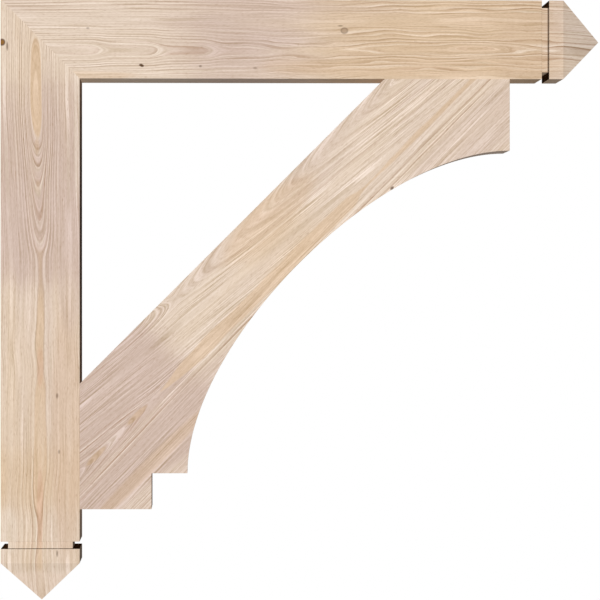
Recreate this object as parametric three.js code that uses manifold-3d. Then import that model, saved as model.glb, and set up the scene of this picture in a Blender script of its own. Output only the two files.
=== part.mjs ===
import * as THREE from 'three';
import { mergeVertices } from 'three/addons/utils/BufferGeometryUtils.js';
import Module from 'manifold-3d';

// Driving dimensions, in millimetres. X runs out from the wall, Y across the bracket and Z up.
// The origin is the middle of the face that bears on the wall.
const TIMBER = 139.7; // dressed side of every timber
const REACH = 1066.8; // wall to the beam's point, and top face to the post's point
const COLLAR = 25.4; // plain block between the groove and the point
const GROOVE_WIDTH = 12.7;
const GROOVE_DEPTH = 12.7;
const BRACE_SPAN = 762; // brace's reach along the beam and along the post
const BRACE_HEEL = 539.75; // inner corner to the brace's straight upper edge
const BRACE_NOSE = 127; // square cut at each end of the brace
const BRACE_STEP = 63.5; // notch between the foot and the arch
const ARCH_PULL = 0.406; // handle length of the arch's curve, as a share of its rise
const ARCH_FACETS = 64;

// Tones of the planed softwood, one for each timber.
const BEAM_TONE = 0xd8c1ab;
const POST_TONE = 0xd9c2ae;
const BRACE_TONE = 0xdcc6b1;
const PLANED_ROUGHNESS = 0.62;

const POINT_BASE = REACH - TIMBER / 2; // four facets at 45 degrees meet on the centre line
const GROOVE_START = POINT_BASE - COLLAR - GROOVE_WIDTH;
const WALL_FACE = GROOVE_START; // plain length that bears on the wall
const OVERCUT = 10; // how far a cutting shape runs past the wood
const MERGE_DISTANCE = 1e-4;

const wasm = await Module();
wasm.setup();

function solidOf(geometry) {
  geometry.deleteAttribute('normal');
  geometry.deleteAttribute('uv');
  const merged = mergeVertices(geometry, MERGE_DISTANCE);
  const mesh = new wasm.Mesh({
    numProp: 3,
    vertProperties: merged.attributes.position.array,
    triVerts: new Uint32Array(merged.index.array),
  });
  return new wasm.Manifold(mesh);
}

function geometryOf(solid) {
  const { vertProperties, triVerts } = solid.getMesh();
  const geometry = new THREE.BufferGeometry();
  geometry.setAttribute('position', new THREE.BufferAttribute(vertProperties, 3));
  geometry.setIndex(new THREE.BufferAttribute(triVerts, 1));
  geometry.computeVertexNormals();
  return geometry;
}

// A side outline, drawn in X and Z, stretched across the thickness of the timber.
function extrudeAcross(outline) {
  const settings = { depth: TIMBER, bevelEnabled: false, curveSegments: ARCH_FACETS };
  const geometry = new THREE.ExtrudeGeometry(outline, settings);
  geometry.rotateX(Math.PI / 2);
  geometry.translate(0, TIMBER / 2, 0);
  return geometry;
}

// A plan outline, drawn in X and Y, stretched through the timber from above its top face.
function extrudeDown(outline) {
  const settings = { depth: TIMBER + 2 * OVERCUT, bevelEnabled: false };
  const geometry = new THREE.ExtrudeGeometry(outline, settings);
  geometry.translate(0, 0, -TIMBER - OVERCUT);
  return geometry;
}

// The square groove that runs round all four sides of a timber, just behind its point.
function grooveRing() {
  const outerSide = TIMBER + OVERCUT;
  const coreSide = TIMBER - 2 * GROOVE_DEPTH;
  const outer = new THREE.BoxGeometry(GROOVE_WIDTH, outerSide, outerSide);
  const core = new THREE.BoxGeometry(GROOVE_WIDTH + OVERCUT, coreSide, coreSide);
  for (const box of [outer, core]) {
    box.translate(GROOVE_START + GROOVE_WIDTH / 2, 0, -TIMBER / 2);
  }
  return solidOf(outer).subtract(solidOf(core));
}

// A square timber lying along X under the top face: mitred at the wall, pointed at the free end.
function pointedTimber() {
  const side = new THREE.Shape();
  side.moveTo(0, 0);
  side.lineTo(TIMBER, -TIMBER);
  side.lineTo(POINT_BASE, -TIMBER);
  side.lineTo(REACH, -TIMBER / 2);
  side.lineTo(POINT_BASE, 0);

  const halfPlan = TIMBER / 2 + OVERCUT;
  const plan = new THREE.Shape();
  plan.moveTo(-OVERCUT, -halfPlan);
  plan.lineTo(POINT_BASE - OVERCUT, -halfPlan);
  plan.lineTo(REACH, 0);
  plan.lineTo(POINT_BASE - OVERCUT, halfPlan);
  plan.lineTo(-OVERCUT, halfPlan);

  const bar = solidOf(extrudeAcross(side)).intersect(solidOf(extrudeDown(plan)));
  return geometryOf(bar.subtract(grooveRing()));
}

// The brace in the corner: a straight upper edge at 45 degrees and an arched lower edge,
// which springs upright from a stepped foot and runs out level under the far end.
function archedBrace() {
  const far = TIMBER + BRACE_SPAN;
  const heel = TIMBER + BRACE_HEEL;
  const nose = TIMBER + BRACE_NOSE;
  const spring = nose + BRACE_STEP;
  const pull = ARCH_PULL * (far - spring);

  const outline = new THREE.Shape();
  outline.moveTo(TIMBER, -heel);
  outline.lineTo(TIMBER, -far);
  outline.lineTo(nose, -far);
  outline.lineTo(nose, -far + BRACE_STEP);
  outline.lineTo(spring, -far + BRACE_STEP);
  outline.bezierCurveTo(spring, -far + BRACE_STEP + pull, far - pull, -nose, far, -nose);
  outline.lineTo(far, -TIMBER);
  outline.lineTo(heel, -TIMBER);
  return extrudeAcross(outline);
}

function wood(color) {
  return new THREE.MeshStandardMaterial({ color, roughness: PLANED_ROUGHNESS, metalness: 0 });
}

const topBeam = new THREE.Mesh(pointedTimber(), wood(BEAM_TONE));
topBeam.name = 'top_beam';

// The post is the same timber, turned over about the mitre so that it hangs down the wall.
const backPost = new THREE.Mesh(pointedTimber(), wood(POST_TONE));
backPost.name = 'back_post';
backPost.rotation.set(Math.PI, -Math.PI / 2, 0);

const brace = new THREE.Mesh(archedBrace(), wood(BRACE_TONE));
brace.name = 'arched_brace';

const bracket = new THREE.Group();
bracket.position.z = WALL_FACE / 2;
bracket.add(topBeam, backPost, brace);

export default bracket;
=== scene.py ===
# %% [markdown]
# A timber corbel bracket: a beam along the top, a post down the wall and an arched brace in the corner.
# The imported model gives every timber's place and size. Here each one is sawn again with eased arrises
# and gets its own wood, because the grain is what makes this bracket look like itself.

# %% Load the frame
import math

import bmesh
import bpy
from mathutils import Matrix, Vector


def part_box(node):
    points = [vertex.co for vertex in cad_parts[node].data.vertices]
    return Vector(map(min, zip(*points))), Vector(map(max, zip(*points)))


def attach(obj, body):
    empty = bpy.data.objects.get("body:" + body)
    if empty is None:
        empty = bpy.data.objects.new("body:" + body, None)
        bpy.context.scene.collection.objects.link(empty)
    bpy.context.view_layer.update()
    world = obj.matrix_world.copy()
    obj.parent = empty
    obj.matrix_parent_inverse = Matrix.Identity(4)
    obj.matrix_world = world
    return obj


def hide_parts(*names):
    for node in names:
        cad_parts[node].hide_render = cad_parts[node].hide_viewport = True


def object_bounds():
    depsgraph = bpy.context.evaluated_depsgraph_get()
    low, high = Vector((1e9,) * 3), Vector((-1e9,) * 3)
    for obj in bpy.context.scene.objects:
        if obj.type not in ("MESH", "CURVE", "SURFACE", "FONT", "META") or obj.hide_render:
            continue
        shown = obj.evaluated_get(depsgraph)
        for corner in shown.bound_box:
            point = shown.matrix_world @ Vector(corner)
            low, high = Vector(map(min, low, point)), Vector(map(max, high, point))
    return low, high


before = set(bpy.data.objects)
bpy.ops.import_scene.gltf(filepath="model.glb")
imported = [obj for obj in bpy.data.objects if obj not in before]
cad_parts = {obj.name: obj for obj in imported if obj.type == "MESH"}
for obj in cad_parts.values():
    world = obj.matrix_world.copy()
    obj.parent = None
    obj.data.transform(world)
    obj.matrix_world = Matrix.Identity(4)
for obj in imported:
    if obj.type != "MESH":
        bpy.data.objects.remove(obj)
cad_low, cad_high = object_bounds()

print("bracket from", tuple(cad_low), "to", tuple(cad_high))

# %% [markdown]
# The photograph is taken almost square on, from far away: parallel edges stay parallel, and only a thin
# strip of each side face shows. A camera without perspective would lose those strips, so a long lens
# stands far in front instead. The eye is left of the middle, so that the post's inner face is a narrower
# strip than the underside of the beam.

# %% Stand the camera
EYE_DISTANCE = 6.5
EYE_OUT = 0.345
EYE_DROP = 0.522
AIM_OUT = 0.5294
AIM_DROP = 0.5316
FRAME_WIDTH = 1.0627

top = cad_high.z
front = cad_low.y
eye = Vector((EYE_OUT, front - EYE_DISTANCE, top - EYE_DROP))
aim = Vector((AIM_OUT, front, top - AIM_DROP))

bpy.ops.object.select_all(action="DESELECT")
bpy.ops.object.camera_add(location=eye)
camera = bpy.context.object
camera.rotation_euler = (aim - eye).to_track_quat("-Z", "Y").to_euler()
camera.data.lens = camera.data.sensor_width * (aim - eye).length / FRAME_WIDTH
camera.data.dof.use_dof = False
bpy.context.scene.camera = camera
print("lens", round(camera.data.lens, 1), "mm")

# %% [markdown]
# The beam starts as a squared length of timber. Two saw cuts mark the groove, the band between them is
# sunk, the end face is drawn out to a point and the wall end is cut at 45 degrees. Cutting shapes could
# take the wood away too, but sawing the block leaves few, clean faces that are easy to find again.

# %% Square up the beam
COLLAR = 0.0254
GROOVE_WIDTH = 0.0127
GROOVE_DEPTH = 0.0127
NEAR = 1e-5

beam_low, beam_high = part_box("top_beam")
timber = beam_high.z - beam_low.z
point_base = beam_high.x - timber / 2
groove_far = point_base - COLLAR
groove_near = groove_far - GROOVE_WIDTH


def choose(mesh, kind, wanted):
    """Select the faces or edges of the mesh being edited that pass a test, and nothing else."""
    bpy.ops.mesh.select_all(action="DESELECT")
    edited = bmesh.from_edit_mesh(mesh)
    chosen = [item for item in getattr(edited, kind) if wanted(item)]
    for item in chosen:
        item.select_set(True)
    edited.select_flush_mode()
    bmesh.update_edit_mesh(mesh)
    return len(chosen)


def saw_block(name, low, high):
    """A squared block between two corners, open for editing."""
    bpy.ops.object.select_all(action="DESELECT")
    bpy.ops.mesh.primitive_cube_add(size=1, location=(low + high) / 2, scale=high - low)
    block = bpy.context.object
    block.name = name
    block.data.name = name
    bpy.ops.object.transform_apply(location=True, rotation=True, scale=True)
    bpy.ops.object.mode_set(mode="EDIT")
    return block


beam = saw_block("beam_timber", beam_low, Vector((point_base, beam_high.y, beam_high.z)))
print("timber", round(timber, 4), "m square, groove from", round(groove_near, 4))

# %% Sink the groove
SIDEWAYS = 0.5

for cut in (groove_near, groove_far):
    bpy.ops.mesh.select_all(action="SELECT")
    bpy.ops.mesh.bisect(plane_co=(cut, 0, 0), plane_no=(1, 0, 0))


def on_groove_band(face):
    across = abs(face.normal.x) < SIDEWAYS
    return across and groove_near < face.calc_center_median().x < groove_far


band = choose(beam.data, "faces", on_groove_band)
bpy.ops.mesh.extrude_region_shrink_fatten(
    TRANSFORM_OT_shrink_fatten={"value": -GROOVE_DEPTH, "use_even_offset": True}
)
print("groove sunk on", band, "faces")

# %% Draw out the point and cut the mitre
choose(beam.data, "faces", lambda face: face.calc_center_median().x > point_base - NEAR)
bpy.ops.mesh.extrude_region_move(TRANSFORM_OT_translate={"value": (timber / 2, 0, 0)})
bpy.ops.mesh.merge(type="CENTER")

outer_corner = Vector((beam_low.x, 0, beam_high.z))
mitre_normal = Vector((1, 0, 1)).normalized()
bpy.ops.mesh.select_all(action="SELECT")
bpy.ops.mesh.bisect(
    plane_co=outer_corner, plane_no=mitre_normal, use_fill=True, clear_inner=True
)
print("point at", round(max(v.co.x for v in bmesh.from_edit_mesh(beam.data).verts), 4))

# %% [markdown]
# Every free arris of a planed timber is eased a little, as with a block plane, so that it does not
# splinter. A Bevel modifier would ease every edge alike. The bevel tool in edit mode takes only the edges
# that are chosen, so the mitre stays sharp and closes.

# %% Ease the free arrises of the beam
ARRIS = 0.0006
ARRIS_FACETS = 2
SHARP = math.radians(30)
SQUARE_ON = 0.99


def is_free_arris(edge, joint_faces):
    """A sharp outward edge none of whose faces lies on a joint."""
    if len(edge.link_faces) != 2 or edge.calc_face_angle_signed(0) < SHARP:
        return False
    return not any(joint(face) for face in edge.link_faces for joint in joint_faces)


def on_mitre(face):
    return abs(face.normal.dot(mitre_normal)) > SQUARE_ON


def ease(mesh, joint_faces):
    """Plane a narrow bevel along every free arris, then close the mesh for editing."""
    count = choose(mesh, "edges", lambda edge: is_free_arris(edge, joint_faces))
    bpy.ops.mesh.bevel(offset=ARRIS, offset_type="OFFSET", segments=ARRIS_FACETS, affect="EDGES")
    bpy.ops.mesh.select_all(action="SELECT")
    bpy.ops.mesh.remove_doubles(threshold=NEAR)
    bpy.ops.mesh.normals_make_consistent(inside=False)
    bpy.ops.object.mode_set(mode="OBJECT")
    return count


bpy.ops.mesh.select_mode(type="EDGE")
eased = ease(beam.data, [on_mitre])
print("beam:", eased, "arrises eased,", len(beam.data.polygons), "faces")

# %% [markdown]
# The post is the same timber turned over about the line of the mitre, so it is not modelled twice. A copy
# with its own mesh is turned half round that line, and the turn is then applied to its vertices. That
# keeps the two alike and leaves the post unturned at the origin, where its grain is laid later.

# %% Turn a copy into the post
bpy.ops.object.select_all(action="DESELECT")
beam.select_set(True)
bpy.context.view_layer.objects.active = beam
bpy.ops.object.duplicate()
post = bpy.context.object
post.name = "post_timber"
post.data.name = "post_timber"
mitre_line = Vector((1, 0, -1)).normalized()
to_corner = Matrix.Translation(outer_corner)
post.matrix_world = to_corner @ Matrix.Rotation(math.pi, 4, mitre_line) @ to_corner.inverted()
bpy.ops.object.transform_apply(location=True, rotation=True, scale=True)
print("post down to", round(min(v.co.z for v in post.data.vertices), 4))

# %% [markdown]
# The brace is drawn first as an outline on its front face: one corner is extruded from place to place
# round the edge, and the arch is stepped along a curve that leaves the foot upright and runs out level
# under the far end. A plank could be cut with a round shape instead, but this arch is no part of a circle.
# The closed outline is filled and drawn back through the thickness of the timber.

# %% Draw the outline of the brace
BRACE_HEEL = 0.53975
BRACE_NOSE = 0.127
BRACE_STEP = 0.0635
ARCH_PULL = 0.406
ARCH_FACETS = 64

brace_low, brace_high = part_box("arched_brace")
back = brace_high.y
wall_side = brace_low.x
under_beam = brace_high.z
arch_foot = Vector((wall_side + BRACE_NOSE + BRACE_STEP, front, brace_low.z + BRACE_STEP))
arch_tip = Vector((brace_high.x, front, under_beam - BRACE_NOSE))
pull = ARCH_PULL * (arch_tip.x - arch_foot.x)


def arch_point(share):
    """A point on the arch's curve, from its foot at 0 to its tip at 1."""
    rise = arch_foot + Vector((0, 0, pull))
    run = arch_tip - Vector((pull, 0, 0))
    rest = 1 - share
    ends = rest ** 3 * arch_foot + share ** 3 * arch_tip
    return ends + 3 * rest * share * (rest * rise + share * run)


outline = [
    Vector((wall_side, front, under_beam - BRACE_HEEL)),
    Vector((wall_side, front, brace_low.z)),
    Vector((wall_side + BRACE_NOSE, front, brace_low.z)),
    Vector((wall_side + BRACE_NOSE, front, brace_low.z + BRACE_STEP)),
]
outline += [arch_point(step / ARCH_FACETS) for step in range(ARCH_FACETS + 1)]
outline += [
    Vector((brace_high.x, front, under_beam)),
    Vector((wall_side + BRACE_HEEL, front, under_beam)),
]
print("outline of", len(outline), "points")

# %% Extrude the brace
bpy.ops.object.select_all(action="DESELECT")
bpy.ops.mesh.primitive_plane_add(size=ARRIS, location=outline[0])
brace = bpy.context.object
brace.name = "brace_timber"
brace.data.name = "brace_timber"
bpy.ops.object.transform_apply(location=True, rotation=True, scale=True)
bpy.ops.object.mode_set(mode="EDIT")
bpy.ops.mesh.select_mode(type="VERT")
bpy.ops.mesh.select_all(action="SELECT")
bpy.ops.mesh.merge(type="CENTER")
for here, there in zip(outline, outline[1:]):
    bpy.ops.mesh.extrude_region_move(TRANSFORM_OT_translate={"value": there - here})
bpy.ops.mesh.select_all(action="SELECT")
bpy.ops.mesh.edge_face_add()
bpy.ops.mesh.select_all(action="SELECT")
bpy.ops.mesh.extrude_region_move(TRANSFORM_OT_translate={"value": (0, back - front, 0)})
bpy.ops.mesh.select_all(action="SELECT")
bpy.ops.mesh.normals_make_consistent(inside=False)


def on_post(face):
    return face.normal.x < -SQUARE_ON


def on_beam(face):
    return face.normal.z > SQUARE_ON


bpy.ops.mesh.select_mode(type="EDGE")
eased = ease(brace.data, [on_post, on_beam])
print("brace:", eased, "arrises eased,", len(brace.data.polygons), "faces")

# %% [markdown]
# The planed faces are flat and the sawn arch is one smooth sweep. Shading everything smooth would blur
# the arrises, and shading everything flat would show the arch's facets. Smoothing by a small angle does
# both jobs, because only the facets of the arch meet that gently.

# %% Shade the flats flat and the arch smooth
ARCH_TURN = math.radians(12)
timbers = {"top_beam": beam, "back_post": post, "arched_brace": brace}
for piece in timbers.values():
    bpy.ops.object.select_all(action="DESELECT")
    piece.select_set(True)
    bpy.context.view_layer.objects.active = piece
    bpy.ops.object.shade_smooth_by_angle(angle=ARCH_TURN)
print("timbers", [piece.name for piece in timbers.values()])

# %% [markdown]
# Wood is solid all through, so its figure is worked out in space and not painted on the faces. Growth
# rings are shells round the heart of the tree; a saw cut through them leaves long arched lines where it
# runs beside the heart. The maths is easiest to read as formulas, so a small class stands for one socket
# and each sign adds the node that does it.

# %% A socket that can be used in a formula
class Reading:
    """One output of a material's nodes, used in a formula as if it were a number."""

    def __init__(self, tree, socket=None):
        self.tree = tree
        self.socket = socket

    def node(self, kind, settings, sockets, output=0):
        """Add a node, set it up, fill or link its sockets and read one of its outputs."""
        made = self.tree.nodes.new(kind)
        for key, value in settings.items():
            if key == "stops":
                Reading.set_stops(made.color_ramp, value)
            elif key == "points":
                Reading.set_points(made.mapping, value)
            else:
                setattr(made, key, value)
        for key, value in sockets.items():
            if isinstance(value, Reading):
                self.tree.links.new(value.socket, made.inputs[key])
            else:
                made.inputs[key].default_value = value
        return Reading(self.tree, made.outputs[output])

    @staticmethod
    def set_stops(ramp, stops):
        while len(ramp.elements) < len(stops):
            ramp.elements.new(1.0)
        for element, (place, level) in zip(ramp.elements, stops):
            element.position = place
            element.color = (level, level, level, 1.0)

    @staticmethod
    def set_points(mapping, points):
        curve = mapping.curves[0]
        while len(curve.points) < len(points):
            curve.points.new(0.5, 0.5)
        for point, place in zip(curve.points, points):
            point.location = place
            point.handle_type = "AUTO_CLAMPED"
        mapping.update()

    def maths(self, operation, *values):
        return self.node("ShaderNodeMath", {"operation": operation}, dict(enumerate(values)))

    def __add__(self, other):
        return self.maths("ADD", self, other)

    def __radd__(self, other):
        return self.maths("ADD", other, self)

    def __sub__(self, other):
        return self.maths("SUBTRACT", self, other)

    def __rsub__(self, other):
        return self.maths("SUBTRACT", other, self)

    def __mul__(self, other):
        return self.maths("MULTIPLY", self, other)

    def __rmul__(self, other):
        return self.maths("MULTIPLY", other, self)

    def __truediv__(self, other):
        return self.maths("DIVIDE", self, other)

    def __rtruediv__(self, other):
        return self.maths("DIVIDE", other, self)

    def __pow__(self, power):
        return self.maths("POWER", self, power)

    def __rpow__(self, base):
        return self.maths("POWER", base, self)

    def mix(self, base, over):
        """Blend two colours by this value, from base at 0 to over at 1."""
        sockets = {0: self, 6: base, 7: over}
        return self.node("ShaderNodeMix", {"data_type": "RGBA"}, sockets, output=2)

    def ramp(self, stops):
        return self.node("ShaderNodeValToRGB", {"stops": stops}, {0: self})

    def curve(self, points):
        return self.node("ShaderNodeFloatCurve", {"points": points}, {1: self})

    def fade(self, start, end, low=0.0, high=1.0):
        """Ease from low to high as this value goes from start to end."""
        sockets = {0: self, 1: start, 2: end, 3: low, 4: high}
        return self.node("ShaderNodeMapRange", {"interpolation_type": "SMOOTHSTEP"}, sockets)


print("formula signs ready")

# %% [markdown]
# The colours are those of freshly planed softwood under white light: cream and pink early wood, honey and
# tan toward the heart, brown where a ring closes and darker brown on sawn end grain. The same darker brown
# also paints shade into the groove's inner corner. They are easiest to choose as screen colours, which are
# then turned into the linear values that the shader works in.

# %% Tones of the wood
def tone(red, green, blue):
    """A screen colour, from 0 to 255, as a linear shader colour."""
    shares = [value / 255 for value in (red, green, blue)]
    linear = [s / 12.92 if s < 0.04045 else ((s + 0.055) / 1.055) ** 2.4 for s in shares]
    return (*linear, 1.0)


CREAM = tone(231, 212, 193)
PINK = tone(209, 186, 172)
HONEY = tone(220, 193, 162)
TAN = tone(220, 191, 160)
LATE_WOOD = tone(158, 117, 82)
# The palest wood colour also paints highlights over the points.
PALE_WOOD_AND_HIGHLIGHT = tone(247, 232, 215)
END_GRAIN_AND_SHADE = tone(104, 78, 56)
KNOT = tone(92, 66, 44)
AMBER = tone(156, 112, 58)
DART = tone(204, 175, 147)
BLUSH = tone(216, 188, 164)
ROSE = tone(219, 180, 152)
print("cream is", [round(value, 3) for value in CREAM])

# %% [markdown]
# One recipe makes all three woods, because they are one kind of tree. It first lays each piece along its
# grain, in millimetres: u along the fibres, v across the front face and w into the wood. A stretched
# picture would do for one face, but a place in space serves every face, and the grain meets at the edges.

# %% Lay the grain
MILLIMETRES = 1000
NOISE_MIDDLE = 0.5
FINER = 1.0
END_GRAIN_TURN = (0.85, 0.97)


def noise(start, place, detail=0.0):
    """Smooth noise from 0 to 1 at a place given by two or three readings."""
    spot = start.node("ShaderNodeCombineXYZ", {}, dict(enumerate(place)))
    dimensions = {"noise_dimensions": f"{len(place)}D"}
    return start.node("ShaderNodeTexNoise", dimensions, {"Vector": spot, "Scale": 1.0, "Detail": detail})


def grain_noise(start, grain, size, detail=0.0):
    """Noise whose patches are size[0] long and size[1] wide, in millimetres."""
    u, v, w = grain
    return noise(start, (u / size[0], v / size[1], w / size[1]), detail)


def swing(start, grain, size, detail=0.0):
    """The same noise, but as much below zero as above it."""
    return grain_noise(start, grain, size, detail) - NOISE_MIDDLE


def lay_grain(start, wood):
    """Distances along the grain, across it and in from the front face, in millimetres."""
    along, across = wood["along"], wood["across"]
    turn = Matrix((along, across, along.cross(across)))
    sockets = {
        "Vector": start.node("ShaderNodeTexCoord", {}, {}, "Object"),
        "Location": -(turn @ wood["corner"]) * MILLIMETRES,
        "Rotation": turn.to_euler(),
        "Scale": (MILLIMETRES,) * 3,
    }
    laid = start.node("ShaderNodeMapping", {"vector_type": "POINT"}, sockets)
    u, v, toward = (start.node("ShaderNodeSeparateXYZ", {}, {0: laid}, i) for i in range(3))
    return u, v, toward * -1.0


def end_grain(start, along):
    """How squarely the surface cuts across the fibres, from 0 to 1."""
    facing = start.node("ShaderNodeNewGeometry", {}, {}, "Normal")
    sockets = {0: facing, 1: along}
    across = start.node("ShaderNodeVectorMath", {"operation": "DOT_PRODUCT"}, sockets, "Value")
    return across.maths("ABSOLUTE", across).fade(*END_GRAIN_TURN)


print("grain is laid in millimetres")

# %% [markdown]
# On the real timber the lines run on across the groove and down the facets of the point, and hardly jump.
# Plain depth would shift them there by many rings. So depth is counted from the worked surface: the
# groove's depth and the slope of the point are taken off it. On the beam painted shade darkens a thin
# strip of the groove's floor in its inner corner, which shows as a thin line and needs no shape of its
# own.

# %% Find the depth under the worked surface
SAW_KERF = 0.1
# Widths of the painted shade in the groove's inner corner, in millimetres from the wall.
CORNER_WIDE = 2.4
CORNER_FULL = 1.6


def above_zero(value):
    return value.maths("MAXIMUM", value, 0.0)


def under_surface(u, w):
    """Depth below the worked face, in the groove and on the point as on the flat."""
    near, far, base = (value * MILLIMETRES for value in (groove_near, groove_far, point_base))
    sunk = u.fade(near - SAW_KERF, near) - u.fade(far, far + SAW_KERF)
    return w - sunk * (GROOVE_DEPTH * MILLIMETRES) - above_zero(u - base)


def groove_corner_shade(u):
    """Painted shade on the strip of the groove's floor next to the point, from 0 outside it to 1 in the
    corner.
    """
    far = groove_far * MILLIMETRES
    return u.fade(far - CORNER_WIDE, far - CORNER_FULL) - u.fade(far, far + SAW_KERF)


print("groove is", GROOVE_DEPTH * MILLIMETRES, "mm deep")

# %% [markdown]
# Rings are counted outward from the heart of the tree. Where the saw has just cut into a ring the count
# dips in a long well, and the lines round it close into nested arched tips. Round bumps in the count make
# lines swell or pinch, and slow noise bends them a little, as growth does. A brace can also have a second
# heart at its upper edge, where the count folds back. Wave textures are quicker, but give no such tips.

# %% Count the rings
DEPTH_SHARE = 0.3
DEPTH_RINGS = 0.07
LONG_WAVE = (300, 40)
SHORT_WAVE = (90, 13)
SHORT_RINGS = 5.0
FOLD_EASE = 18.0
FOLD_CLEAR = 150
FOLD_AWAY = 60
STRIPE_EDGE = (2, 9)
WELL_DEPTH = 8.0
WELL_STEEP = 4.0
ROOT = 0.5
SPACING = 0.55
SPACING_ROW = 0.5
UNEVEN_FROM = (3.0, 6.0)
UNEVEN_RINGS = 1.5


def bump_at(grain, spot):
    """A smooth rise from 0 to 1 at a spot (u, v, half length, half width)."""
    along, across, long, wide = spot
    far = ((grain[0] - along) / long) ** 2 + ((grain[1] - across) / wide) ** 2
    return far.maths("EXPONENT", far * -1.0)


def fold_back(grain, aside, wood):
    """Distance from the heart, turned back at the fold, with the lines leaning across the slope."""
    u, v, w = grain
    fold, fold_start = wood["fold"]
    fold = fold + u.fade(fold_start, fold_start - FOLD_CLEAR) * FOLD_AWAY
    past = aside - fold
    lean_start, lean = wood["lean"]
    return fold - (past * past + FOLD_EASE ** 2) ** ROOT + (u - lean_start) * v.fade(*STRIPE_EDGE) * lean


def count_rings(start, grain, aside, share, wood):
    """How many rings lie between the heart and each place in the timber."""
    w = grain[2]
    well_line, well_width = wood["well"]
    well = share.curve(well_line) * WELL_DEPTH / (1.0 + (aside / well_width) ** WELL_STEEP) ** ROOT
    if "fold" in wood:
        aside = fold_back(grain, aside, wood)
    aside = aside / wood["ring"]
    inward = w * w * (DEPTH_SHARE / wood["ring"] / wood["width"]) + wood["heart_depth"]
    rings = (aside * aside + inward * inward) ** ROOT - well + w * DEPTH_RINGS
    for spot, lift in wood["eyes"]:
        rings = rings + bump_at(grain, spot) * lift
    rings = rings + swing(start, grain, LONG_WAVE) * wood["long_wave"]
    ripple = share.curve(wood["short_wave"]) * SHORT_RINGS
    rings = rings + swing(start, grain, SHORT_WAVE, FINER) * ripple
    uneven = noise(start, (rings * SPACING, SPACING_ROW)) - NOISE_MIDDLE
    return rings + uneven * rings.fade(*UNEVEN_FROM) * UNEVEN_RINGS


print("rings are laid out along", LONG_WAVE[0], "mm waves")

# %% [markdown]
# Across one ring the wood stays pale, darkens, and stops at a hard line where the next spring's palest
# wood begins. Some years leave strong lines and others hardly any: a ramp over the ring count gives the
# broad strength, and each ring has its own share of it. Between the lines run many finer ones. Drawing
# each would take too many rings, so they are noise stretched along the rings.

# %% Draw the figure of the rings
RING_DARK = [(0.0, 0.0), (0.5, 0.0), (0.7, 0.45), (0.83, 1.0), (0.96, 1.0), (1.0, 0.0)]
RING_PALE = [(0.0, 0.8), (0.05, 1.0), (0.2, 1.0), (0.36, 0.0), (1.0, 0.0)]
RINGS_BELOW = 6.0
RING_SPAN = 26.0
OWN_STRENGTH = (0.2, 0.8)
PATCH = (120, 9)
PATCH_STRENGTH = (0.34, 0.6, 0.4, 1.0)
REGION = (150, 22)
REGION_STRENGTH = (0.35, 0.65, 0.5, 1.5)
FINE_LINES = (180, 2.2)
HAIR_LINES = (110, 1.05)
DARK_TO_PALE = (0.3, 0.7, -1.0, 1.0)
CALMED_RINGS = 0.95
CALMED_LINES = 0.3


def ring_figure(start, rings, grain, share, calm, wood):
    """Dark and pale shares of the rings and the fine lines between, less where the wood is calm."""
    within = rings.maths("FRACT", rings)
    number = rings.maths("FLOOR", rings)
    place = (rings + RINGS_BELOW) / RING_SPAN
    own = start.node("ShaderNodeTexWhiteNoise", {"noise_dimensions": "1D"}, {"W": number})
    patchy = grain_noise(start, grain, PATCH, FINER).fade(*PATCH_STRENGTH)
    strength = place.ramp(wood["line_stops"]) * own.fade(*OWN_STRENGTH, wood["faintest"], 1.0) * patchy
    strength = strength * share.curve(wood["lines_along"]) * (1.0 - calm * CALMED_RINGS)
    region = grain_noise(start, grain, REGION).fade(*REGION_STRENGTH) * (1.0 - calm * CALMED_LINES)
    along = grain[0] + grain[2]
    count = rings * wood["ring"]
    fine = noise(start, (along / FINE_LINES[0], count / FINE_LINES[1]), FINER)
    hair = noise(start, (along / HAIR_LINES[0], count / HAIR_LINES[1]), FINER)
    return {
        "dark": within.ramp(RING_DARK) * strength,
        "pale": within.ramp(RING_PALE) * strength,
        "fine": fine.fade(*DARK_TO_PALE) * region,
        "hair": hair.fade(*DARK_TO_PALE) * region,
    }


print("fine lines lie about", FINE_LINES[1], "mm apart")

# %% [markdown]
# Under the lines the ground colour drifts: cream, pink and honey in broad patches, tan where the saw ran
# inside the innermost rings, and single streaks of colour. In those tan places the wood is calm, with
# hardly a line. One colour ramp over noise could not put them where they belong, so each has its place.
# A pale streak over the whole of each point is a painted highlight that lifts the point's facets.

# %% Tint the wood
TINT_PATCH = (300, 36)
PINK_DRIFT = 0.7
HONEY_DRIFT = 0.8
STRIPE_HALF = 20.0
STRIPE_EASE = 3.5
STRIPE_WOBBLE = (70, 30)
STRIPE_SWELL = 0.8
STRIPE_LEAST = 0.6
CORE_EASE = 0.35
STREAK_EDGE = (0.2, 0.55)


def largest(readings):
    """The greatest of several readings at each place."""
    most = readings[0]
    for reading in readings[1:]:
        most = most.maths("MAXIMUM", most, reading)
    return most


def tan_stripe(start, grain, aside, share, wood):
    """A stripe along the heart that widens and narrows, from 0 outside it to 1 inside."""
    half = share.curve(wood["stripe"]) * STRIPE_HALF
    half = half * (grain_noise(start, grain, STRIPE_WOBBLE, FINER) * STRIPE_SWELL + STRIPE_LEAST)
    return (half - aside.maths("ABSOLUTE", aside)).fade(0.0, STRIPE_EASE)


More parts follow.
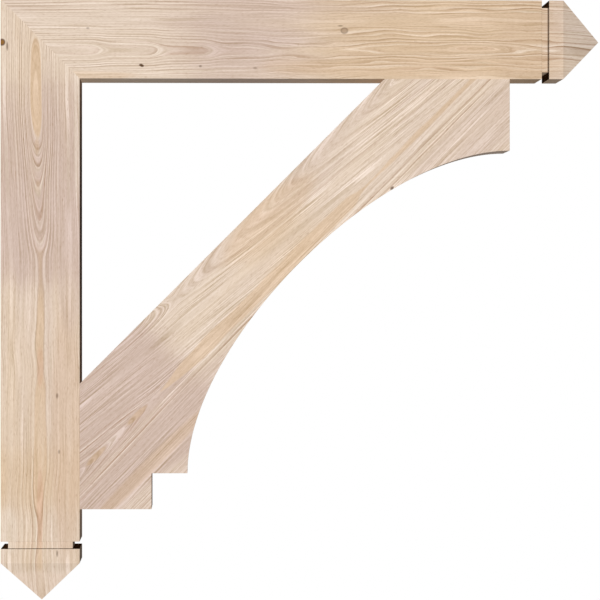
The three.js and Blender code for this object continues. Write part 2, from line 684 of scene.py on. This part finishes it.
def tint_wood(start, grain, rings, aside, share, wood):
    """The ground colour between the lines, and how calm the wood is there."""
    cloud = swing(start, grain, TINT_PATCH, FINER)
    pinkness = share.curve(wood["pink"]) + grain[1] * wood["pink_across"] + cloud * PINK_DRIFT
    honeyed = share.curve(wood["honey"]) - cloud * HONEY_DRIFT
    colour = honeyed.fade(0.0, 1.0).mix(pinkness.fade(0.0, 1.0).mix(CREAM, PINK), HONEY)
    calm = []
    if "stripe" in wood:
        stripe = tan_stripe(start, grain, aside, share, wood)
        colour = (stripe * wood["stripe_weight"]).mix(colour, TAN)
        calm.append(stripe)
    for limit, weight_along in wood["cores"]:
        core = rings.fade(limit, limit - CORE_EASE) * share.curve(weight_along)
        colour = core.mix(colour, TAN)
        calm.append(core)
    # Some streaks are painted highlights: pale sheets laid over the whole point.
    for spot, hue, weight, stillness in wood["streaks"]:
        streak = bump_at(grain, spot).fade(*STREAK_EDGE)
        colour = (streak * weight).mix(colour, hue)
        calm.append(streak * stillness)
    return colour, largest(calm)


print("stripe up to", STRIPE_HALF, "mm each way from the heart")

# %% [markdown]
# Over the tint come the lines, short fibres, dark flecks and faint blotches. Shade is not grey on wood:
# a darker place is also warmer, so each light value is spread over red, green and blue by its own share.
# Knots are small dark spots with a rim, and end a little way in, because a pin knot is a twig's end.

# %% Lay lines, fibres and knots over the tint
FIBRE_LIGHT = 0.3
FLECK = (9, 1.3)
FLECK_FROM = (0.66, 0.8)
FLECK_DARK = 0.24
BLOTCH = (55, 7)
WARMTH = (0.84, 1.0, 1.32)
KNOT_DEEP = 9.0
KNOT_RIM = [(0.0, 0.0), (0.22, 0.0), (0.45, 0.85), (1.0, 1.0)]
KNOT_CORE = [(0.0, 0.0), (0.5, 0.0), (0.8, 0.85), (1.0, 0.9)]


def draw_lines(start, colour, figure, fibre, grain, wood):
    """The tint with ring lines, flecks and the light and shade of fine lines, fibres and blotches."""
    dark_weight, pale_weight = wood["line_weights"]
    fleck = grain_noise(start, grain, FLECK).fade(*FLECK_FROM)
    colour = (figure["pale"] * pale_weight).mix(colour, PALE_WOOD_AND_HIGHLIGHT)
    colour = (figure["dark"] * dark_weight + fleck * FLECK_DARK).mix(colour, LATE_WOOD)
    light = figure["fine"] * wood["fine"] + figure["hair"] * wood["hair"] + fibre * FIBRE_LIGHT
    light = light + swing(start, grain, BLOTCH, FINER) * wood["blotch"]
    shade = start.node("ShaderNodeCombineXYZ", {}, {i: 1.0 + light * WARMTH[i] for i in range(3)})
    return start.node("ShaderNodeVectorMath", {"operation": "MULTIPLY"}, {0: colour, 1: shade})


def set_knots(colour, grain, depth, wood):
    """The colour with small knots, each a dark rim round a core of its own hue."""
    for spot, weight, core in wood["knots"]:
        swell = bump_at(grain, spot) * depth.fade(KNOT_DEEP, 0.0)
        colour = (swell.ramp(KNOT_RIM) * weight).mix(colour, KNOT)
        colour = (swell.ramp(KNOT_CORE) * weight).mix(colour, core)
    return colour


print("knots go", KNOT_DEEP, "mm deep")

# %% [markdown]
# The finished wood is planed and bare: matte, a trace smoother on the hard dark lines, and with those
# lines and the fibres standing a hair's breadth proud. A coat of varnish would give it a gloss, which
# this bracket does not have, so the shader's own shine is off.

# %% Build the wood
HEART_MIDDLE = 0.5
FIBRE = (7, 1.2)
PLANED_ROUGHNESS = 0.68
LATE_SMOOTHER = 0.1
RIDGE_LINES = 0.6
RIDGE_FIBRES = 0.4
RIDGE_STRENGTH = 0.2
RIDGE_HEIGHT = 0.0004


def make_wood(name, wood):
    """A solid wood for one timber, from its own grain and figure."""
    material = bpy.data.materials.new(name)
    material.use_nodes = True
    tree = material.node_tree
    start = Reading(tree)
    u, v, depth = lay_grain(start, wood)
    if wood["worked"]:
        depth = under_surface(u, depth)
    share = (u - wood["starts"]) / wood["length"]
    aside = v - (share.curve(wood["heart_line"]) - HEART_MIDDLE) * wood["width"]
    rings = count_rings(start, (u, v, depth), aside, share, wood)
    grain = (u, v, depth + wood["layer"])
    colour, calm = tint_wood(start, grain, rings, aside, share, wood)
    figure = ring_figure(start, rings, grain, share, calm, wood)
    fibre = swing(start, grain, FIBRE, FINER)
    colour = draw_lines(start, colour, figure, fibre, grain, wood)
    colour = set_knots(colour, grain, depth, wood)
    colour = end_grain(start, wood["along"]).mix(colour, END_GRAIN_AND_SHADE)
    # Painted shade: the groove's inner corner on the beam is darkened toward the end-grain brown.
    if "painted_corner_shade" in wood:
        colour = (groove_corner_shade(u) * wood["painted_corner_shade"]).mix(colour, END_GRAIN_AND_SHADE)

    height = figure["dark"] * RIDGE_LINES + fibre * RIDGE_FIBRES
    ridges = {"Height": height, "Strength": RIDGE_STRENGTH, "Distance": RIDGE_HEIGHT}
    shader = tree.nodes["Principled BSDF"]
    tree.links.new(colour.socket, shader.inputs["Base Color"])
    tree.links.new((PLANED_ROUGHNESS - figure["dark"] * LATE_SMOOTHER).socket, shader.inputs["Roughness"])
    tree.links.new(start.node("ShaderNodeBump", {}, ridges).socket, shader.inputs["Normal"])
    shader.inputs["Specular IOR Level"].default_value = 0.0
    return material


print("wood recipe ready")

# %% [markdown]
# The beam's heart lies below its middle. By the wall the saw cut into the rings, so arched tips point
# outward one after the other; past the middle the lines run nearly straight, and near the free end they
# close round one long lens. The strongest lines lie near the heart and along the top edge. Chance alone
# would never give these figures, so their places along the timber are listed one by one.

# %% Wood of the beam
# Curves and lines are pairs of a share of the length, or of the ring count, and a level. A spot is
# (along, across, half length, half width) in millimetres. Eyes add rings at a spot; a core is a ring
# limit and its weight along the length; a streak is a spot, hue, weight and stillness; a knot is a spot,
# weight and the hue of its middle.
beam_wood = {
    "along": Vector((1, 0, 0)),
    "across": Vector((0, 0, 1)),
    "corner": Vector((0, front, top - timber / 2)),
    "starts": 0,
    "length": 1067,
    "width": 140,
    "worked": True,
    # Strength of the painted shade in the groove's inner corner.
    "painted_corner_shade": 0.6,
    "layer": 0,
    "ring": 5.3,
    "heart_depth": 2.5,
    "heart_line": [(0, 0.35), (0.3, 0.36), (0.5, 0.35), (0.66, 0.38), (0.8, 0.37), (1, 0.37)],
    "well": (
        [
            (0, 0.53), (0.083, 0.525), (0.145, 0.51), (0.185, 0.39), (0.241, 0.385), (0.281, 0.265),
            (0.331, 0.26), (0.374, 0.14), (0.422, 0.125), (0.464, 0.04), (0.514, 0.0), (1, 0.0),
        ],
        24.0,
    ),
    "eyes": [((828, -18, 112, 11), -2.2), ((852, 12, 26, 7), 0.9)],
    "long_wave": 1.5,
    "short_wave": [
        (0, 0.07), (0.3, 0.07), (0.4, 0.2), (0.52, 0.45), (0.88, 0.45), (0.95, 0.15), (1, 0.1),
    ],
    "line_weights": (0.7, 0.45),
    "line_stops": [
        (0.0, 0.9), (0.35, 0.9), (0.48, 0.75), (0.55, 0.3), (0.7, 0.25), (0.73, 1.0), (1.0, 0.9),
    ],
    "lines_along": [(0, 1), (0.3, 1), (0.36, 0.55), (0.53, 0.5), (0.6, 0.9), (1, 1)],
    "faintest": 0.45,
    "fine": 0.07,
    "hair": 0.06,
    "blotch": 0.15,
    "pink": [
        (0, 0.2), (0.1, 0.1), (0.2, 0.15), (0.3, 0.45), (0.4, 0.75), (0.55, 0.5), (0.75, 0.45), (1, 0.4),
    ],
    "pink_across": 0.002,
    "honey": [
        (0, 0.1), (0.1, 0.0), (0.3, 0.0), (0.45, 0.2), (0.6, 0.75), (0.75, 0.9), (0.88, 0.9), (0.92, 0.4),
        (1, 0.3),
    ],
    "cores": [(1.6, [(0, 0.0), (0.6, 0.0), (0.7, 0.5), (0.9, 0.5), (1, 0.0)])],
    "streaks": [
        ((150, -64, 90, 7), TAN, 0.5, 0.6),
        ((720, -50, 240, 16), TAN, 0.5, 0.0),
        ((940, -20, 62, 90), DART, 0.34, 0.0),
        ((525, -46, 60, 18), DART, 0.35, 0.0),
        ((840, 45, 60, 22), DART, 0.25, 0.0),
        # Painted highlight: a pale sheet over the whole point lifts its facets.
        ((1035, 0, 40, 110), PALE_WOOD_AND_HIGHLIGHT, 0.2, 0.0),
    ],
    "knots": [
        ((247.8, -46, 3.2, 2.3), 0.8, KNOT),
        ((250.2, -47.4, 3.2, 2.3), 0.8, KNOT),
        ((608, 15.4, 6.5, 5.6), 0.6, DART),
        ((353, -48, 3.0, 2.2), 0.35, KNOT),
        ((601, 24, 5.0, 1.4), 0.35, KNOT),
        ((450, -51, 4.0, 2.0), 0.25, KNOT),
        ((154, 19, 3.0, 2.0), 0.25, KNOT),
    ],
}
beam.data.materials.append(make_wood("beam wood", beam_wood))
print("beam wood has", len(beam.data.materials[0].node_tree.nodes), "nodes")

# %% [markdown]
# The post's heart runs down its middle, close under the face. Near the top the saw cut into it, and the
# rings close in a long tan loop with a ladder of arched tips below. From there on one tan stripe swells
# and pinches down to the point, between pale straight lines. The recipe is the beam's, with a deeper and
# narrower well, so that the tips are slim.

# %% Wood of the post
post_wood = {
    "along": Vector((0, 0, -1)),
    "across": Vector((1, 0, 0)),
    "corner": Vector((timber / 2, front, top)),
    "starts": 0,
    "length": 1067,
    "width": 140,
    "worked": True,
    "layer": 400,
    "ring": 5.3,
    "heart_depth": 2.5,
    "heart_line": [
        (0, 0.44), (0.166, 0.445), (0.222, 0.461), (0.31, 0.473), (0.415, 0.5), (0.53, 0.505),
        (0.572, 0.492), (0.614, 0.511), (0.68, 0.5), (0.764, 0.5), (0.83, 0.473), (0.863, 0.486),
        (0.93, 0.482), (1, 0.5),
    ],
    "well": (
        [
            (0, 0.5), (0.066, 0.7), (0.1, 0.775), (0.15, 0.8), (0.222, 0.7), (0.249, 0.575), (0.277, 0.45),
            (0.31, 0.325), (0.37, 0.2), (0.406, 0.075), (0.435, 0.0), (1, 0.0),
        ],
        17.0,
    ),
    "eyes": [
        ((480, 0, 60, 40), 0.2),
        ((655, 2, 26, 40), 0.32),
        ((800, 0, 80, 30), -0.5),
        ((935, -2, 45, 40), 0.42),
    ],
    "long_wave": 0.6,
    "short_wave": [(0, 0.04), (0.4, 0.05), (0.5, 0.09), (1, 0.09)],
    "line_weights": (1.0, 0.75),
    "line_stops": [
        (0.0, 0.95), (0.3, 0.95), (0.335, 0.8), (0.36, 0.8), (0.42, 0.5), (0.5, 0.35), (0.7, 0.3),
        (1.0, 0.4),
    ],
    "lines_along": [
        (0, 0.85), (0.1, 1), (0.28, 1), (0.34, 0.6), (0.4, 0.45), (0.47, 0.3), (0.6, 0.35), (0.75, 0.55),
        (0.85, 0.75), (1, 0.65),
    ],
    "faintest": 0.4,
    "fine": 0.07,
    "hair": 0.06,
    "blotch": 0.13,
    "pink": [
        (0, 0), (0.09, 0.05), (0.15, 0.6), (0.25, 0.92), (0.42, 1), (0.5, 0.35), (0.72, 0.3), (0.9, 0.2),
        (1, 0.1),
    ],
    "pink_across": 0.0005,
    "honey": [
        (0, 0.3), (0.15, 0.2), (0.35, 0.1), (0.5, 0.25), (0.72, 0.4), (0.8, 0.75), (0.88, 0.3), (1, 0.3),
    ],
    "cores": [
        (-2.75, [(0, 0.0), (0.05, 0.0), (0.075, 0.9), (0.25, 0.9), (0.27, 0.0), (1, 0.0)]),
        (3.0, [(0, 0.0), (0.4, 0.0), (0.44, 0.7), (0.6, 0.8), (0.7, 0.65), (0.8, 0.8), (1, 0.8)]),
    ],
    "streaks": [
        ((260, -5.5, 15, 4.0), DART, 0.6, 0.6),
        ((330, -3.7, 11, 3.4), DART, 0.5, 0.6),
        ((760, 46, 230, 26), BLUSH, 0.6, 0.3),
        ((480, 52, 110, 22), PINK, 0.45, 0.3),
        ((900, 0, 70, 6), ROSE, 0.6, 0.0),
        ((650, 0, 35, 6), ROSE, 0.5, 0.0),
        ((230, 65, 130, 5), PALE_WOOD_AND_HIGHLIGHT, 0.4, 0.3),
        # Painted highlight: a pale sheet over the whole point lifts its facets.
        ((1052, 0, 40, 110), PALE_WOOD_AND_HIGHLIGHT, 0.95, 0.5),
        ((1052, 0, 40, 110), ROSE, 0.35, 0.0),
        ((1028, 0, 36, 10), HONEY, 0.25, 0.0),
        ((940, -58, 40, 18), PALE_WOOD_AND_HIGHLIGHT, 0.3, 0.0),
    ],
    "knots": [
        ((76, -67, 6.0, 5.4), 1.0, AMBER),
        ((83, -58, 8, 1.6), 0.5, KNOT),
        ((701, 30, 5, 2.4), 0.35, KNOT),
        ((800, 33.5, 4, 2), 0.3, KNOT),
        ((980, 30, 6, 1.6), 0.4, KNOT),
    ],
}
post.data.materials.append(make_wood("post wood", post_wood))
print("post wood has", len(post.data.materials[0].node_tree.nodes), "nodes")

# %% [markdown]
# The brace is sawn with the grain along its slope, so that it is strong between the post and the beam.
# A tan stripe follows its heart, with arched tips below it in the foot and a second tan band beside the
# step. Above the stripe the lines lean across the slope and fold back along the upper edge. Its stripe has
# a width of its own along the slope, because here the rings do not close round it.

# %% Wood of the brace
HEART_POINT = 0.4882
brace_wood = {
    "along": Vector((1, 0, 1)).normalized(),
    "across": Vector((-1, 0, 1)).normalized(),
    "corner": Vector((HEART_POINT, front, top - HEART_POINT)),
    "starts": -540,
    "length": 1080,
    "width": 140,
    "worked": False,
    "layer": 800,
    "ring": 9.0,
    "heart_depth": 1.2,
    "heart_line": [(0, 0.5), (0.5, 0.5), (1, 0.5)],
    "well": (
        [(0, 0.32), (0.0185, 0.29), (0.099, 0.1625), (0.15, 0.1), (0.193, 0.0375), (0.24, 0.0), (1, 0.0)],
        16.0,
    ),
    "fold": (95, -150),
    "lean": (-525, 0.1),
    "eyes": [],
    "long_wave": 0.6,
    "short_wave": [(0, 0.04), (1, 0.04)],
    "line_weights": (0.75, 0.5),
    "line_stops": [
        (0.0, 0.9), (0.26, 0.9), (0.29, 0.5), (0.33, 0.8), (0.37, 0.5), (0.42, 0.2), (0.5, 0.1),
        (0.7, 0.1), (0.73, 0.4), (1.0, 0.4),
    ],
    "lines_along": [(0, 1), (1, 1)],
    "faintest": 0.1,
    "fine": 0.12,
    "hair": 0.1,
    "blotch": 0.09,
    "pink": [(0, 1), (0.23, 1), (0.3, 0.45), (0.36, 0.2), (0.7, 0.2), (0.85, 0.3), (1, 0.4)],
    "pink_across": 0.0,
    "honey": [(0, 0.0), (0.3, 0.05), (0.45, 0.25), (0.55, 0.5), (0.65, 0.2), (1, 0.15)],
    "stripe": [
        (0, 0.0), (0.19, 0.0), (0.25, 0.3), (0.315, 0.62), (0.407, 0.66), (0.486, 0.65), (0.593, 0.67),
        (0.669, 0.6), (0.716, 0.15), (0.76, 0.26), (0.815, 0.32), (1, 0.28),
    ],
    "stripe_weight": 0.7,
    "cores": [],
    "streaks": [
        ((-400, -79, 170, 12), DART, 0.55, 0.8),
        ((-452, 0, 24, 5), DART, 0.8, 0.8),
        ((-350, 0, 24, 5), DART, 0.8, 0.8),
        ((100, 104, 330, 22), PINK, 0.2, 0.5),
        ((60, 80, 110, 30), TAN, 0.5, 0.0),
        ((-470, -130, 140, 34), CREAM, 0.55, 0.0),
        ((400, -72, 150, 40), PINK, 0.35, 0.0),
        ((-250, -42, 110, 20), PINK, 0.4, 0.8),
    ],
    "knots": [((254, -35, 4, 2.6), 0.6, KNOT)],
}
brace.data.materials.append(make_wood("brace wood", brace_wood))
print("brace wood has", len(brace.data.materials[0].node_tree.nodes), "nodes")

# %% [markdown]
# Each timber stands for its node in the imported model. None of them moves, so all ride on the one body,
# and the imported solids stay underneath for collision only.

# %% Hang the timbers on the frame
for node, piece in timbers.items():
    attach(piece, "root")
    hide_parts(node)

# %% [markdown]
# The light is a plain studio. The key stands square in front, so that the faces turned from the lens stay
# dark, as in the photograph. A fill without shadows lights the undersides and the low point from below.
# Lamps above, behind, left and right keep the other sides readable. They stand square to the bracket and
# so never reach into the open triangle; one weak lamp behind and above does, for the brace's upper face.
# A bright sky would be simpler, but it would fill the dark strips, so the white background gives hardly
# any light.

# %% Light the studio
LAMP_SPREAD = math.radians(2)


def lamp(name, toward, strength, shadows=True):
    """A far, slightly soft light that comes from the given side."""
    bpy.ops.object.select_all(action="DESELECT")
    bpy.ops.object.light_add(type="SUN", location=Vector(toward) * EYE_DISTANCE)
    made = bpy.context.object
    made.name = name
    made.rotation_euler = Vector(toward).to_track_quat("Z", "Y").to_euler()
    made.data.energy = strength
    made.data.angle = LAMP_SPREAD
    made.data.use_shadow = shadows


lamp("key", toward=(0, -1, 0), strength=2.62)
lamp("low_fill", toward=(0, -0.5, -0.87), strength=0.98, shadows=False)
lamp("above", toward=(0, 0, 1), strength=1.4)
lamp("left", toward=(-1, 0, 0), strength=1.8)
lamp("right", toward=(1, 0, 0), strength=0.25)
lamp("behind", toward=(0, 1, 0), strength=1.9)
lamp("behind_above", toward=(0, 1, 1), strength=0.6)
print("lights", [light.name for light in bpy.data.lights])

# %% Hang the white background
AMBIENT = 0.015
WHITE = (1, 1, 1, 1)
world = bpy.data.worlds.new("white studio")
bpy.context.scene.world = world
world.use_nodes = True
sky = Reading(world.node_tree)
seen = sky.node("ShaderNodeLightPath", {}, {}, "Is Camera Ray")
backdrop = world.node_tree.nodes["Background"]
world.node_tree.links.new(seen.fade(0, 1, AMBIENT, 1.0).socket, backdrop.inputs["Strength"])
backdrop.inputs["Color"].default_value = WHITE
bpy.context.scene.view_settings.view_transform = "Standard"
print("background gives", AMBIENT, "of its light")

# %% [markdown]
# A pale floor lies well below, as under a bracket high on a wall. It is out of the photograph's view, and
# gives the other views a ground. It is wide enough to reach far behind the bracket, low enough to look up
# from below, and glows a little so that it stays pale although only the lamps above reach it.

# %% Lay the floor
FLOOR_DROP = 8.0
FLOOR_RADIUS = 80.0
FLOOR_SIDES = 96
FLOOR_PALE = (0.86, 0.86, 0.85, 1.0)
FLOOR_ROUGHNESS = 0.9
FLOOR_GLOW = 0.34
bpy.ops.object.select_all(action="DESELECT")
bpy.ops.mesh.primitive_circle_add(
    vertices=FLOOR_SIDES, radius=FLOOR_RADIUS, fill_type="NGON", location=(0, 0, -FLOOR_DROP)
)
floor = bpy.context.object
floor.name = "floor"
paint = bpy.data.materials.new("pale floor")
paint.use_nodes = True
coat = paint.node_tree.nodes["Principled BSDF"]
coat.inputs["Base Color"].default_value = FLOOR_PALE
coat.inputs["Roughness"].default_value = FLOOR_ROUGHNESS
coat.inputs["Emission Color"].default_value = FLOOR_PALE
coat.inputs["Emission Strength"].default_value = FLOOR_GLOW
floor.data.materials.append(paint)
floor.visible_shadow = False
floor.visible_diffuse = False
print("floor at", -FLOOR_DROP)
